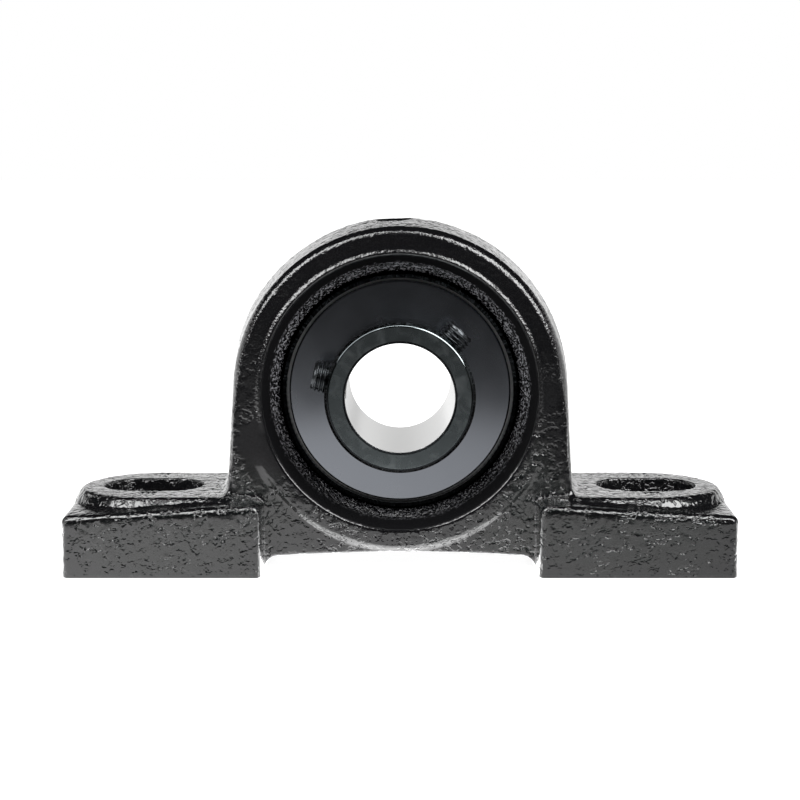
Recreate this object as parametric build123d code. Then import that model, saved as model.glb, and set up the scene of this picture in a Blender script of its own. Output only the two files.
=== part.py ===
from build123d import *
import os
from math import cos, radians, sin, sqrt, tan

# Pillow block bearing for a 20 mm shaft.
# Millimetres and degrees. Origin: middle of the base's underside.
# +X along the base, +Y along the shaft from the set screws to the back, +Z up.

# ---- Driving sizes: the standard block ----
shaft_diameter = 20.0
axis_height = 33.3
overall_height = 65.4
base_length = 125.0
base_width = 38.0
bolt_spacing = 95.0
slot_width = 13.0
slot_length = 19.0

# ---- Driving sizes: the standard insert ----
insert_diameter = 47.0
outer_ring_width = 17.0
inner_ring_width = 31.0
short_end = 12.7            # bearing centre to the back end of the inner ring
inner_ring_diameter = 27.6
ball_count = 8
ball_diameter = 7.938       # 5/16 inch
pitch_diameter = 33.5
groove_conformity = 0.52    # race groove radius over ball diameter
race_clearance = 0.025      # ball to each groove bottom
seat_clearance = 0.03       # spherical seat to outer ring, on the radius

# ---- Casting ----
hub_width = 25.0
crown_draft = 6.0           # crown and cheeks, both ways from the parting plane y = 0
foot_draft = 1.0            # feet and arch
cheek_flare = 3.5           # the sides of the hub widen downwards by this angle
crown_edge_rounding = 1.0
heel_rounding = 2.5         # where the cheeks run out on the bolt faces
hub_face_radius = 29.05
web_setback = 1.1           # the web's faces behind the hub's, at the arch
web_setback_top = 20.0      # height at which the web's faces leave the hub's
ring_wall_slope = 45.0      # step from the hub ring back to the web, from square to the faces
arch_height = 3.15
arch_sag = 0.95             # the arch is this much lower at the feet
arch_corner = 2.5
foot_inner = 25.3           # from the middle to a foot's inner face, at the parting plane
ledge_inner = 13.9          # a foot's top beside the bolt face, at its inner end
ledge_outer = 11.8          # and at its outer end
long_edge_rounding = 1.4
corner_rounding = 1.5       # upright corners of the feet
pad_height = 14.0           # bolt faces round the slots
pad_radius = 13.7           # half the width of a bolt face, and its round outer end
pad_slope = 30.0            # its sides, from upright
pad_rounding = 0.5
pad_setback = 0.3           # where its slope is cut off, behind the foot's end face
pad_root = 0.6              # depth of its slope inside the foot
pad_start = 1.2             # from the foot's inner face to the bolt face
crease_rounding = 0.4

# ---- Seat for the insert ----
seat_half_width = 7.0
cone_depth = 9.0            # from the bearing centre out to the end of the seat's cone
cone_radius = 24.0
rim_radius = 25.6
rim_chamfer = 0.5
notch_clearance = 0.2       # beside and over the insert as it goes in crosswise

# ---- Grease way ----
grease_hole_x = -1.5
grease_hole_y = -1.5
grease_tap_radius = 2.5     # tapping size of M6
grease_mouth_radius = 3.6
grease_groove = (-5.4, 1.2)     # start and end along the shaft
grease_groove_depth = 0.8
grease_port_y = -4.4
grease_port_radius = 0.8

# ---- Rings ----
outer_land_radius = 19.6
seal_recess_radius = 21.2
seal_recess_start = 5.3
ring_chamfer = 0.5
bore_chamfer = 0.3

# ---- Set screws ----
screw_angles = {"left": 167.0, "right": 47.0}
screw_y = -13.5
screw_length = 6.0
screw_radius = 2.95
screw_hole_radius = 3.0
screw_tip = 10.4            # from the shaft's axis to the cup point
cup_rim = 1.5
cup_depth = 0.8
screw_chamfer = 0.4
socket_flats = 3.0
socket_depth = 2.6
socket_drill_depth = 0.6

# ---- Cage ----
cage_thickness = 0.7
cage_inner = 15.2
cage_outer = 18.2
pocket_radius = 4.1
rivet_radius = 0.6
rivet_head_radius = 1.14
rivet_head_height = 0.5

# ---- Seals and flingers ----
shield_sheet = 0.5
shield_inner_radius = 15.4
shield_rim_end = 6.9
lip_outer_radius = 16.4
lip_thickness = 0.4
lip_start = 1.1             # where the lip runs on the inner ring, behind the shield's inner face
lip_gap = 0.06
flinger_radius = 20.7
flinger_face = 8.3
flinger_thickness = 0.8
flinger_sheet = 0.6         # its turned rim and collar
flinger_rim_end = 7.2
flinger_collar_end = 7.0
flinger_edge = 0.3

# ---- Derived sizes ----
outer_ring_radius = insert_diameter / 2 - seat_clearance
seat_radius = insert_diameter / 2
crown_radius = overall_height - axis_height
bore_radius = shaft_diameter / 2
inner_ring_radius = inner_ring_diameter / 2
long_end = inner_ring_width - short_end
ball_radius = ball_diameter / 2
pitch_radius = pitch_diameter / 2
groove_radius = groove_conformity * ball_diameter
hub_face = hub_width / 2
foot_face = base_width / 2
foot_end = base_length / 2
slot_centre = bolt_spacing / 2
ball_step = 360 / ball_count
above_all = overall_height + 5
below_base = -3.0

shaft_axis = Axis((0, 0, axis_height), (0, 1, 0))
# Local x runs along the shaft and local y is the radius.
turning_plane = Plane((0, 0, axis_height), x_dir=(0, 1, 0), z_dir=(1, 0, 0))


def turned(*lines):
    """Solid of revolution about the shaft from a closed outline of (y, radius)."""
    return revolve(turning_plane * make_face(lines), shaft_axis)


def turned_polygon(*points):
    return turned(Polyline(*points, close=True))


def on_sphere(y, radius):
    """Point of a sphere's section round the bearing centre, as (y, radius)."""
    return (y, sqrt(radius**2 - y**2))


def around_shaft(angle, y=0.0):
    """Plane whose normal points outward from the shaft at this angle from +X towards +Z."""
    outward = (cos(radians(angle)), 0, sin(radians(angle)))
    return Plane((0, y, axis_height), x_dir=(0, 1, 0), z_dir=outward)


# ---- Housing ----

def web_outline():
    """Crown and flared cheeks, seen along the shaft. The lower ends reach into the feet."""
    tilt = radians(cheek_flare)
    tangent_x = crown_radius * cos(tilt)
    tangent_z = axis_height + crown_radius * sin(tilt)
    heel_z = pad_height - 0.1          # just under the bolt faces
    cheek_x = tangent_x + (tangent_z - heel_z) * tan(tilt)
    inside_foot = slot_centre - slot_length / 2 - 0.5
    crown = ThreePointArc((tangent_x, tangent_z), (0, overall_height), (-tangent_x, tangent_z))
    sides = Polyline(
        (-tangent_x, tangent_z),
        (-cheek_x, heel_z),
        (-inside_foot, heel_z),
        (-inside_foot, below_base),
        (inside_foot, below_base),
        (inside_foot, heel_z),
        (cheek_x, heel_z),
        (tangent_x, tangent_z),
    )
    outline = make_face([crown, sides])
    heels = outline.vertices().filter_by(
        lambda v: abs(v.Y - heel_z) < 0.01 and abs(abs(v.X) - cheek_x) < 0.01
    )
    return fillet(heels, heel_rounding)


def drafted(outline, half_length, draft):
    """Outline in X and Z extruded both ways from the parting plane, narrowing with the draft."""
    face = Plane.XZ * outline
    return extrude(face, amount=half_length, taper=draft) + extrude(face, amount=-half_length, taper=draft)


def web():
    """Hub body whose faces are set back below the hub ring."""
    body = drafted(web_outline(), hub_face, crown_draft)
    crown_edges = body.edges().filter_by(
        lambda e: abs(abs(e.center().Y) - hub_face) < 0.01 and e.bounding_box().max.Z > pad_height + 4
    )
    body = fillet(crown_edges, crown_edge_rounding)
    for side in (-1, 1):
        body -= web_relief(side)
    return body


def web_relief(side):
    """Wedge that sets the web back from the hub ring, deeper towards the arch."""
    outside = side * (hub_face + 1)
    behind = side * (hub_face - 2 * web_setback)
    slope = tan(radians(ring_wall_slope))
    deepest = web_setback * (web_setback_top - below_base) / (web_setback_top - arch_height)
    section = Polyline(
        (outside, web_setback_top),
        (side * hub_face, web_setback_top),
        (side * (hub_face - deepest), below_base),
        (outside, below_base),
        close=True,
    )
    wedge = extrude(Plane.YZ * make_face(section), amount=foot_end, both=True)
    ring = turned_polygon(
        (outside, 0),
        (outside, hub_face_radius - slope),
        (behind, hub_face_radius + 2 * web_setback * slope),
        (behind, 0),
    )
    return wedge - ring


def arch():
    """Clearance under the web between the feet, which widens both ways from the parting plane."""
    side_height = arch_height - arch_sag
    outline = make_face([
        ThreePointArc((-foot_inner, side_height), (0, arch_height), (foot_inner, side_height)),
        Polyline(
            (foot_inner, side_height),
            (foot_inner, below_base),
            (-foot_inner, below_base),
            (-foot_inner, side_height),
        ),
    ])
    top_corners = outline.vertices().sort_by(Axis.Y)[-2:]
    return drafted(fillet(top_corners, arch_corner), foot_face + 1, -foot_draft)


def foot(side):
    """One foot: drafted block whose top falls away outward, its edges rounded."""
    outline = make_face(
        Polyline(
            (side * foot_inner, below_base),
            (side * foot_end, below_base),
            (side * foot_end, ledge_outer),
            (side * foot_inner, ledge_inner),
            close=True,
        )
    )
    block = drafted(outline, foot_face, foot_draft)
    upright = block.edges().filter_by(
        lambda e: abs(e.center().Y) > foot_face - 0.5 and abs(e.tangent_at(0.5).Z) > 0.9
    )
    block = fillet(upright, corner_rounding)
    top_edges = block.faces().filter_by(lambda f: f.normal_at().Z > 0.9).edges()
    rim = top_edges.filter_by(lambda e: abs(e.center().Y) > 1 or abs(e.center().X) > foot_end - 1)
    return fillet(rim, long_edge_rounding)


def pad(side):
    """Raised bolt face on a foot, straight beside the hub and round at its outer end."""
    start = foot_inner + pad_start
    base_z = ledge_outer - pad_root
    spread = (pad_height - base_z) * tan(radians(pad_slope))
    straight = slot_centre - start
    plan = Pos(-straight / 2, 0) * Rectangle(straight, 2 * (pad_radius + spread))
    plan += Circle(pad_radius + spread)
    if side < 0:
        plan = mirror(plan, Plane.YZ)
    body = extrude(Plane((side * slot_centre, 0, base_z)) * plan, amount=pad_height - base_z, taper=pad_slope)
    body = fillet(body.faces().sort_by(Axis.Z)[-1].edges(), pad_rounding)
    end = Plane((side * (foot_end - pad_setback), 0, 0), z_dir=(side, 0, 0))
    return split(body, bisect_by=end, keep=Keep.BOTTOM)


def crease_edges(body):
    """Inside corners where the web's faces meet the feet, up a foot's inner face and along its top."""
    beside_hub = foot_inner + 6.5
    found = []
    for edge in body.edges():
        middle = edge.center()
        on_web_face = hub_face - web_setback - 0.4 < abs(middle.Y) < hub_face - 0.2
        along_foot = foot_inner - 0.2 < abs(middle.X) < beside_hub
        within_foot = below_base < middle.Z < pad_height
        if on_web_face and along_foot and within_foot:
            found.append(edge)
    return found


def foot_slot(side):
    slot = Plane((side * slot_centre, 0, below_base)) * SlotOverall(slot_length, slot_width)
    return extrude(slot, amount=above_all)


def seat_cavity():
    """Spherical seat with its cone, wall and rim on both faces."""
    lip_radius = sqrt(seat_radius**2 - seat_half_width**2)
    outside = hub_face + 1
    wall_end = hub_face - rim_chamfer
    wall_radius = rim_radius - 0.2
    rim_edge = rim_radius + 0.3
    return turned(
        ThreePointArc((-seat_half_width, lip_radius), (0, seat_radius), (seat_half_width, lip_radius)),
        Polyline(
            (seat_half_width, lip_radius),
            (cone_depth, cone_radius),
            (wall_end, wall_radius),
            (hub_face, rim_edge),
            (outside, rim_edge + 1),
            (outside, 0),
            (-outside, 0),
            (-outside, rim_edge + 1),
            (-hub_face, rim_edge),
            (-wall_end, wall_radius),
            (-cone_depth, cone_radius),
            (-seat_half_width, lip_radius),
        ),
    )


def loading_slots():
    """Notches at the back through which the insert goes in crosswise before it is swung square."""
    notch_height = outer_ring_width + 2 * notch_clearance
    start = -1.0
    end = hub_face + 2
    middle_y = (start + end) / 2
    band = Plane((0, middle_y, axis_height)) * Box(base_length, end - start, notch_height)
    deep = seat_radius + notch_clearance / 2
    reach = turned_polygon((start, 0), (start, deep), (end, deep), (end, 0))
    return band & reach


def grease_way():
    """Tapped hole in the crown, and the groove in the seat that carries grease round to the insert."""
    mouth_depth = grease_mouth_radius - grease_tap_radius
    hole_start = Plane((grease_hole_x, grease_hole_y, axis_height + seat_radius / 2))
    hole = hole_start * extrude(Circle(grease_tap_radius), crown_radius)
    mouth_start = Plane((grease_hole_x, grease_hole_y, overall_height - mouth_depth))
    mouth = mouth_start * extrude(Circle(grease_tap_radius), 2 * mouth_depth, taper=-45)
    start, end = grease_groove
    inside = seat_radius / 2
    floor = seat_radius + grease_groove_depth
    groove = turned_polygon((start, inside), (start, floor), (end, floor), (end, inside))
    return hole + mouth + groove


def housing():
    body = web()
    for side in (-1, 1):
        body += foot(side)
    body = fillet(crease_edges(body), crease_rounding)
    body -= arch()
    for side in (-1, 1):
        body += pad(side)
        body -= foot_slot(side)
    body -= seat_cavity()
    body -= loading_slots()
    body -= grease_way()
    machined_base = Plane((0, 0, below_base)) * Box(2 * base_length, 2 * base_width, -2 * below_base)
    return body - machined_base


# ---- Rings ----

def race_arc(land_radius, inner):
    """Half width and bottom radius of a race groove, for the ring inside or outside the balls."""
    sign = 1 if inner else -1
    bottom = pitch_radius - sign * (ball_radius + race_clearance)
    centre = bottom + sign * groove_radius
    half_width = sqrt(groove_radius**2 - (land_radius - centre)**2)
    return half_width, bottom


def outer_ring():
    half = outer_ring_width / 2
    half_groove, bottom = race_arc(outer_land_radius, inner=False)
    corner = on_sphere(half, outer_ring_radius)
    ring = turned(
        ThreePointArc((-corner[0], corner[1]), (0, outer_ring_radius), corner),
        Polyline(
            corner,
            (half, seal_recess_radius),
            (seal_recess_start, seal_recess_radius),
            (seal_recess_start, outer_land_radius),
            (half_groove, outer_land_radius),
        ),
        ThreePointArc((half_groove, outer_land_radius), (0, bottom), (-half_groove, outer_land_radius)),
        Polyline(
            (-half_groove, outer_land_radius),
            (-seal_recess_start, outer_land_radius),
            (-seal_recess_start, seal_recess_radius),
            (-half, seal_recess_radius),
            (-half, corner[1]),
        ),
    )
    port = around_shaft(90, grease_port_y) * extrude(Circle(grease_port_radius), seat_radius + 2)
    return ring - port


def inner_ring():
    half_groove, bottom = race_arc(inner_ring_radius, inner=True)
    front, back = -long_end, short_end
    ring = turned(
        Polyline(
            (front, bore_radius + bore_chamfer),
            (front, inner_ring_radius - ring_chamfer),
            (front + ring_chamfer, inner_ring_radius),
            (-half_groove, inner_ring_radius),
        ),
        ThreePointArc((-half_groove, inner_ring_radius), (0, bottom), (half_groove, inner_ring_radius)),
        Polyline(
            (half_groove, inner_ring_radius),
            (back - ring_chamfer, inner_ring_radius),
            (back, inner_ring_radius - ring_chamfer),
            (back, bore_radius + bore_chamfer),
            (back - bore_chamfer, bore_radius),
            (front + bore_chamfer, bore_radius),
            (front, bore_radius + bore_chamfer),
        ),
    )
    for angle in screw_angles.values():
        ring -= around_shaft(angle, screw_y) * extrude(Circle(screw_hole_radius), crown_radius)
    return ring


def set_screw(angle):
    """Socket set screw with a cup point, in its threaded hole in the inner ring."""
    head = screw_tip + screw_length
    outline = Polyline(
        (0, screw_tip + cup_depth),
        (cup_rim, screw_tip),
        (screw_radius, screw_tip + screw_radius - cup_rim),
        (screw_radius, head - screw_chamfer),
        (screw_radius - screw_chamfer, head),
        (0, head),
        close=True,
    )
    body = revolve(Plane.XZ * make_face(outline), Axis.Z)
    hexagon = RegularPolygon(socket_flats / 2, 6, major_radius=False)
    socket_floor = Plane((0, 0, head - socket_depth))
    socket = socket_floor * extrude(hexagon, socket_depth + 1)
    drill_tip = socket_floor * extrude(Circle(socket_flats / 2), -socket_drill_depth, taper=60)
    return around_shaft(angle, screw_y) * (body - socket - drill_tip)


# ---- Balls and cage ----

def ball(index):
    return around_shaft(index * ball_step) * Pos(0, 0, pitch_radius) * Sphere(ball_radius)


def cage_band(side, depth):
    """Plain ring on one side of the balls' plane, to the cage's radial limits."""
    edge = side * depth
    return turned_polygon((0, cage_inner), (0, cage_outer), (edge, cage_outer), (edge, cage_inner))


def cage_half(side):
    """Pressed ribbon: flats between the balls, a spherical pocket over each, a rivet hole in each flat."""
    half = cage_band(side, cage_thickness)
    deep_band = cage_band(side, pocket_radius + 2 * cage_thickness)
    pockets = [around_shaft(i * ball_step) * Pos(0, 0, pitch_radius) for i in range(ball_count)]
    for pocket in pockets:
        half += deep_band & (pocket * Sphere(pocket_radius + cage_thickness))
    for pocket in pockets:
        half -= pocket * Sphere(pocket_radius)
    for index in range(ball_count):
        half -= rivet_hole(index)
    return half


def rivet_place(index):
    """Local z along the shaft, at the middle of the flat after this ball."""
    angle = radians((index + 0.5) * ball_step)
    place = (pitch_radius * cos(angle), 0, axis_height + pitch_radius * sin(angle))
    return Plane(place, x_dir=(1, 0, 0), z_dir=(0, 1, 0))


def rivet_hole(index):
    return rivet_place(index) * Cylinder(rivet_radius, 6 * cage_thickness)


def rivet(index):
    """Shank through both ribbons with a domed head on each side."""
    grip = cage_thickness
    shank = Cylinder(rivet_radius, 2 * grip)
    dome_radius = (rivet_head_radius**2 + rivet_head_height**2) / (2 * rivet_head_height)
    dome = Pos(0, 0, grip + rivet_head_height - dome_radius) * Sphere(dome_radius)
    width = 4 * rivet_head_radius
    head = dome & Pos(0, 0, grip + rivet_head_height / 2) * Box(width, width, rivet_head_height)
    return rivet_place(index) * (shank + head + mirror(head, Plane.XY))


# ---- Seals and flingers ----

def seal_shield(side):
    """Sheet-steel ring pressed into the outer ring's recess, with a turned-out rim."""
    start = side * seal_recess_start
    face = side * (seal_recess_start + shield_sheet)
    rim_end = side * shield_rim_end
    rim_inside = seal_recess_radius - shield_sheet
    return turned_polygon(
        (start, seal_recess_radius),
        (rim_end, seal_recess_radius),
        (rim_end, rim_inside),
        (face, rim_inside),
        (face, shield_inner_radius),
        (start, shield_inner_radius),
    )


def seal_lip(side):
    """Rubber lip bonded to the shield's inner edge, running on the inner ring."""
    start = seal_recess_start
    face = start + shield_sheet
    outside = face + lip_thickness
    contact = start + lip_start
    edge = inner_ring_radius + lip_gap
    return turned_polygon(
        (side * start, shield_inner_radius),
        (side * face, shield_inner_radius),
        (side * face, lip_outer_radius),
        (side * outside, lip_outer_radius),
        (side * outside, shield_inner_radius - lip_thickness),
        (side * (contact + lip_thickness), edge),
        (side * contact, edge),
        (side * start, shield_inner_radius - 2 * lip_thickness),
    )


def flinger(side):
    """Flat slinger disc pressed on the inner ring, its collar and its rim turned inward."""
    face = side * flinger_face
    inside = side * (flinger_face - flinger_thickness)
    rim_end = side * flinger_rim_end
    collar_end = side * flinger_collar_end
    rim_inside = flinger_radius - flinger_sheet
    collar_outside = inner_ring_radius + flinger_sheet
    return turned_polygon(
        (face, inner_ring_radius),
        (face, flinger_radius - flinger_edge),
        (face - side * flinger_edge, flinger_radius),
        (rim_end, flinger_radius),
        (rim_end, rim_inside),
        (inside, rim_inside),
        (inside, collar_outside),
        (collar_end, collar_outside),
        (collar_end, inner_ring_radius),
    )


# ---- Write one STEP for each piece ----

def pieces():
    found = {
        "housing": housing(),
        "outer_ring": outer_ring(),
        "inner_ring": inner_ring(),
        "cage_front_half": cage_half(-1),
        "cage_rear_half": cage_half(1),
        "cage_rivets": Compound(children=[rivet(index) for index in range(ball_count)]),
        "front_seal_shield": seal_shield(-1),
        "rear_seal_shield": seal_shield(1),
        "front_seal_lip": seal_lip(-1),
        "rear_seal_lip": seal_lip(1),
        "front_flinger": flinger(-1),
        "rear_flinger": flinger(1),
    }
    for name, angle in screw_angles.items():
        found["set_screw_" + name] = set_screw(angle)
    for index in range(ball_count):
        found[f"ball_{index + 1}"] = ball(index)
    return found


os.makedirs("parts", exist_ok=True)
for name, solid in pieces().items():
    export_step(solid, f"parts/{name}.step")
    print(name, round(solid.volume, 2))
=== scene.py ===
import bpy
import bmesh
import numpy as np
from math import cos, pi, radians, sin
from mathutils import Matrix, Vector, noise


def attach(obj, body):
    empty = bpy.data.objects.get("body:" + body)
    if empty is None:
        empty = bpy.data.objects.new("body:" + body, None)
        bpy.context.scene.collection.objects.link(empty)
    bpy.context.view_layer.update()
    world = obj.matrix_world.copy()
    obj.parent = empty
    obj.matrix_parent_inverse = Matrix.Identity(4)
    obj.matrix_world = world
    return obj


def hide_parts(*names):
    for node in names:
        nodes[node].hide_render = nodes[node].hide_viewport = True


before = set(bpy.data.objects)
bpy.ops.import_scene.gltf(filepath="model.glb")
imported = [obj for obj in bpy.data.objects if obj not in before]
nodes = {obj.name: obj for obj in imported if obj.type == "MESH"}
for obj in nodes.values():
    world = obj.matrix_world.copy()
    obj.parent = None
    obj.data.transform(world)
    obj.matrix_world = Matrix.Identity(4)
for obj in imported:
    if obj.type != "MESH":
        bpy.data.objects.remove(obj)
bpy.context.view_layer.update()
print("frame loaded:", len(nodes), "nodes")

mm = 0.001
axisHeight = 33.3 * mm      # shaft axis over the base
screwAngles = {"left": 167, "right": 47}
noise.seed_set(4)           # noise_vector would otherwise take its offsets from the clock


def hexColour(text):
    # sRGB hex to the linear values that shaders use
    parts = [int(text[i:i + 2], 16) / 255 for i in (1, 3, 5)]
    linear = [c / 12.92 if c <= 0.04045 else ((c + 0.055) / 1.055) ** 2.4 for c in parts]
    return (*linear, 1.0)


def addNode(tree, kind, links=None, **settings):
    # settings: a node's own properties, or its inputs as name or inN; links: input -> output socket
    node = tree.nodes.new(kind)
    for name, value in settings.items():
        if hasattr(node, name):
            setattr(node, name, value)
        elif name[:2] == "in" and name[2:].isdigit():
            node.inputs[int(name[2:])].default_value = value
        else:
            node.inputs[name.replace("_", " ")].default_value = value
    for name, socket in (links or {}).items():
        tree.links.new(socket, node.inputs[name])
    return node


def newMaterial(name):
    material = bpy.data.materials.new(name)
    material.use_nodes = True
    tree = material.node_tree
    tree.nodes.clear()
    return material, tree


def newPiece(name, mesh, *materials):
    piece = bpy.data.objects.new(name, mesh)
    bpy.context.scene.collection.objects.link(piece)
    for material in materials:
        mesh.materials.append(material)
    return piece


def squarePast(tree, distance, start):
    # square of how far a distance has gone past its start, for edges that fall away or roll over
    over = addNode(tree, "ShaderNodeMath", {0: distance}, operation="SUBTRACT", in1=start)
    past = addNode(tree, "ShaderNodeMath", {0: over.outputs[0]}, operation="MAXIMUM", in1=0.0)
    return addNode(tree, "ShaderNodeMath", {0: past.outputs[0], 1: past.outputs[0]},
                   operation="MULTIPLY").outputs[0]


def turnedPlace(tree):
    # a turned part's place, its axes, the height over the shaft's axis and the distance from it
    place = addNode(tree, "ShaderNodeTexCoord").outputs["Object"]
    axes = addNode(tree, "ShaderNodeSeparateXYZ", {0: place})
    lift = addNode(tree, "ShaderNodeMath", {0: axes.outputs["Z"]}, operation="SUBTRACT", in1=axisHeight)
    flat = addNode(tree, "ShaderNodeCombineXYZ", {"X": axes.outputs["X"], "Y": lift.outputs[0]})
    radius = addNode(tree, "ShaderNodeVectorMath", {0: flat.outputs[0]}, operation="LENGTH")
    return place, axes, lift.outputs[0], radius.outputs["Value"]


def mirrorRays(tree):
    # camera rays, and whether a ray comes from a reflection or through something clear
    ray = addNode(tree, "ShaderNodeLightPath")
    mirror = addNode(tree, "ShaderNodeMath",
                     {0: ray.outputs["Is Glossy Ray"], 1: ray.outputs["Is Transmission Ray"]},
                     operation="MAXIMUM")
    return ray.outputs["Is Camera Ray"], mirror.outputs[0]


def lathe(rows, segments, shape=None):
    # closed mesh from (radius, height) rows about local z; shape may change a radius at a row and angle
    points = []
    for row, (radius, height) in enumerate(rows):
        for k in range(segments):
            angle = 2 * pi * k / segments
            r = shape(row, angle, radius) if shape else radius
            points.append((r * cos(angle), r * sin(angle), height))
    faces = []
    for row in range(len(rows) - 1):
        for k in range(segments):
            a, b = row * segments + k, row * segments + (k + 1) % segments
            faces.append((a, b, b + segments, a + segments))
    last = (len(rows) - 1) * segments
    faces.append(tuple(range(segments))[::-1])
    faces.append(tuple(range(last, last + segments)))
    mesh = bpy.data.meshes.new("turned")
    mesh.from_pydata(points, [], faces)
    mesh.shade_smooth()
    return mesh


# the camera stands in front of the shaft, a little above it
cameraSet = {
    "place": (0, -329.4 * mm, 76.2 * mm),
    "tiltDown": 7.9,
    "lens": 77.92,
    "sensor": 36.0,
    "clip": (0.01, 50),
}
cameraData = bpy.data.cameras.new("camera")
cameraData.lens = cameraSet["lens"]
cameraData.sensor_width = cameraSet["sensor"]
cameraData.clip_start, cameraData.clip_end = cameraSet["clip"]
camera = bpy.data.objects.new("camera", cameraData)
camera.location = cameraSet["place"]
camera.rotation_euler = (radians(90 - cameraSet["tiltDown"]), 0, 0)
bpy.context.scene.collection.objects.link(camera)
bpy.context.scene.camera = camera
print("camera set")

# Gloss black enamel, sprayed on shot-blasted sand-cast iron: a deep black body under a
# clear glossy film that follows the coarse skin of the casting.
enamelSet = {
    "body": "#08080a",
    "ior": 1.6,
    "roughness": 0.2,
    "mottle": (0.7, 1.4),           # the roughness wanders between these shares of it
    "filmRoughness": 0.06,
    "patch": 7 * mm,                # the pits come and go over this length
    "patchEdges": (0.35, 0.62),
    "patchLeast": 0.25,
    "pit": 1.15 * mm,               # pits left between the sand grains
    "pitEdges": (0.34, 0.50),
    "pitDepth": 0.17 * mm,
    "ripple": 0.45 * mm,            # finer ripple of the spray, drawn coarse enough to show
    "rippleDepth": 0.016 * mm,
    "seatGrain": 0.45 * mm,         # grains of the seat's cone, drawn coarse enough to show
    "seatDepth": 0.3 * mm,
    "glintGrey": "#7c7c80",             # painted highlight: pale grey painted on the cone's raised grains in place of their glints
    "glintEdges": (0.5, 0.62),
    "glintLevels": (16 * mm, 44 * mm),
    "glintAmounts": (0.3, 1.5),      # painted light: the grey is weaker low on the cone and stronger towards its top
    "wallGleam": (0.1, 0.4),        # sheen of the dry wall, and what the film adds to it
    "hubFace": (11.9 * mm, 12.2 * mm, 13.0 * mm),   # fades in over the first two, ends at the last
    "offCentre": -0.15 * mm,        # the turned edges lie a little to one side of the shaft
    "wander": 0.12 * mm,            # how far these edges wander, slowly
    "ragged": 0.11 * mm,            # and in fine teeth
    # beads of enamel along the turned edges: radius, half width, height, levels to fade in over
    "beads": [
        (25.85 * mm, 0.72 * mm, 0.48 * mm, (26 * mm, 34 * mm)),     # the rim, above
        (28.5 * mm, 0.42 * mm, 0.21 * mm, (16 * mm, 6 * mm)),       # the hub's ring, below
    ],
    "edgeRoll": (28.95 * mm, 0.27),     # the crown's front edge rolls over from this radius, per mm
    "rollLevels": (30 * mm, 36 * mm),
    "webLean": 0.065,               # the web's face stands this much more upright in the shading
    "webRadii": (29.8 * mm, 30.3 * mm),
    "webLevels": (20.5 * mm, 19.5 * mm),
}
enamel, tree = newMaterial("blackEnamelOnCastIron")
place = addNode(tree, "ShaderNodeTexCoord").outputs["Object"]
axes = addNode(tree, "ShaderNodeSeparateXYZ", {0: place})
height = axes.outputs["Z"]
rough = addNode(tree, "ShaderNodeAttribute", attribute_name="castSkin").outputs["Fac"]
seat = addNode(tree, "ShaderNodeAttribute", attribute_name="seatCone").outputs["Fac"]
wall = addNode(tree, "ShaderNodeAttribute", attribute_name="dryWall").outputs["Fac"]
# pits in patches, the ripple over them, and the cone's grains
patches = addNode(tree, "ShaderNodeTexNoise", {"Vector": place}, Scale=1 / enamelSet["patch"], Detail=2.0)
patchy = addNode(tree, "ShaderNodeMapRange", {"Value": patches.outputs["Fac"]},
                 in1=enamelSet["patchEdges"][0], in2=enamelSet["patchEdges"][1],
                 in3=enamelSet["patchLeast"], in4=1.0)
depth = addNode(tree, "ShaderNodeMath", {0: rough, 1: patchy.outputs[0]}, operation="MULTIPLY")
pits = addNode(tree, "ShaderNodeTexNoise", {"Vector": place}, Scale=1 / enamelSet["pit"], Detail=2.0)
edged = addNode(tree, "ShaderNodeMapRange", {"Value": pits.outputs["Fac"]},
                interpolation_type="SMOOTHSTEP",
                in1=enamelSet["pitEdges"][0], in2=enamelSet["pitEdges"][1])
coarse = addNode(tree, "ShaderNodeBump", {"Height": edged.outputs[0], "Strength": depth.outputs[0]},
                 Distance=enamelSet["pitDepth"])
ripple = addNode(tree, "ShaderNodeTexNoise", {"Vector": place}, Scale=1 / enamelSet["ripple"], Detail=2.0)
fine = addNode(tree, "ShaderNodeBump",
               {"Height": ripple.outputs["Fac"], "Strength": rough, "Normal": coarse.outputs[0]},
               Distance=enamelSet["rippleDepth"])
grains = addNode(tree, "ShaderNodeTexNoise", {"Vector": place}, Scale=1 / enamelSet["seatGrain"],
                 Detail=2.0, Roughness=0.6)
gritty = addNode(tree, "ShaderNodeBump",
                 {"Height": grains.outputs["Fac"], "Strength": seat, "Normal": fine.outputs[0]},
                 Distance=enamelSet["seatDepth"])
# the beads: a bell-shaped fall outside each radius, on the two end faces only
fromShaft = addNode(tree, "ShaderNodeVectorMath", {0: place}, operation="SUBTRACT",
                    in1=(enamelSet["offCentre"], 0, axisHeight))
inFace = addNode(tree, "ShaderNodeVectorMath", {0: fromShaft.outputs[0]}, operation="MULTIPLY",
                 in1=(1, 0, 1))
turn = addNode(tree, "ShaderNodeVectorMath", {0: inFace.outputs[0]}, operation="LENGTH").outputs["Value"]
shift = addNode(tree, "ShaderNodeMapRange", {"Value": patches.outputs["Fac"]},
                in3=-enamelSet["wander"], in4=enamelSet["wander"])
teeth = addNode(tree, "ShaderNodeMapRange", {"Value": ripple.outputs["Fac"]},
                in3=-enamelSet["ragged"], in4=enamelSet["ragged"])
drift = addNode(tree, "ShaderNodeMath", {0: shift.outputs[0], 1: teeth.outputs[0]}, operation="ADD")
wander = addNode(tree, "ShaderNodeMath", {0: turn, 1: drift.outputs[0]}, operation="ADD").outputs[0]
beads = []
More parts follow.
